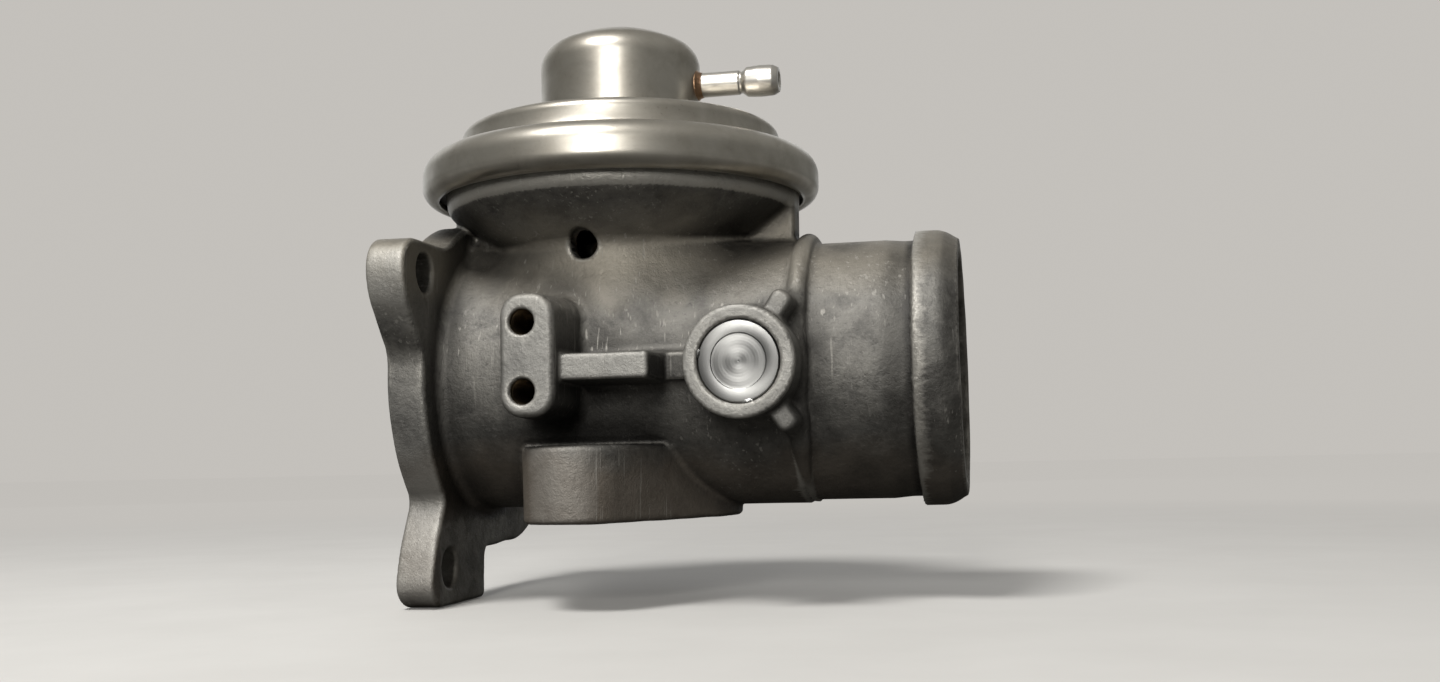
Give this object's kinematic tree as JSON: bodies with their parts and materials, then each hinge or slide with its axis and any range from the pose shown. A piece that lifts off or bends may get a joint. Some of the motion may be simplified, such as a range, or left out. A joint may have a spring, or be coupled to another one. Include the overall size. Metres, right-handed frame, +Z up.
{
  "type": "vacuum-operated exhaust gas recirculation valve",
  "caption": "Cast duct with a manifold flange, a hose spigot and an exhaust inlet, closed by a poppet valve that a vacuum capsule lifts against a spring.",
  "frame": {"origin": "centre of the air duct in the face that bolts to the intake manifold", "axes": "+X along the duct towards the hose spigot, +Y away from the two-hole pad, +Z up the valve stem towards the vacuum capsule"},
  "size_m": [0.1226, 0.0946, 0.1307],
  "materials": {
    "cast_aluminium": "aged sand-coloured grey casting, matt",
    "turned_aluminium": "turned, bright",
    "satin_steel": "pressed steel, satin",
    "plated_steel": "bright plated",
    "stainless_steel": "heat-tinted stainless",
    "spring_steel": "oiled spring wire",
    "sintered_bronze": "sintered, dull",
    "copper_braze": "copper-brown braze",
    "black_rubber": "moulded rubber",
    "diaphragm_cloth": "cloth-backed rubber"
  },
  "bodies": {
    "housing": {"housing": "cast_aluminium", "flange_o_ring": "black_rubber", "valve_seat": "stainless_steel", "guide_bush": "sintered_bronze", "stem_seal": "black_rubber", "seal_retainer": "plated_steel", "heat_shield": "stainless_steel", "diaphragm": "diaphragm_cloth", "return_spring": "spring_steel", "spring_seat": "plated_steel", "vacuum_cover": "satin_steel", "vacuum_nipple": "plated_steel", "nipple_braze": "copper_braze", "shaft_bore_plug": "turned_aluminium"},
    "valve": {"valve_disc": "stainless_steel", "valve_stem": "stainless_steel", "stem_collar": "plated_steel", "lower_plate": "plated_steel", "upper_plate": "plated_steel", "stem_washer": "plated_steel", "stem_nut": "plated_steel"}
  },
  "joints": [
    {"name": "valve_lift", "type": "slide", "parent": "housing", "child": "valve", "axis": [0, 0, 1], "range_m": [0, 0.006], "stiffness_N_per_m": 4000, "springref_m": -0.008, "deforming": ["return_spring", "diaphragm"]}
  ]
}
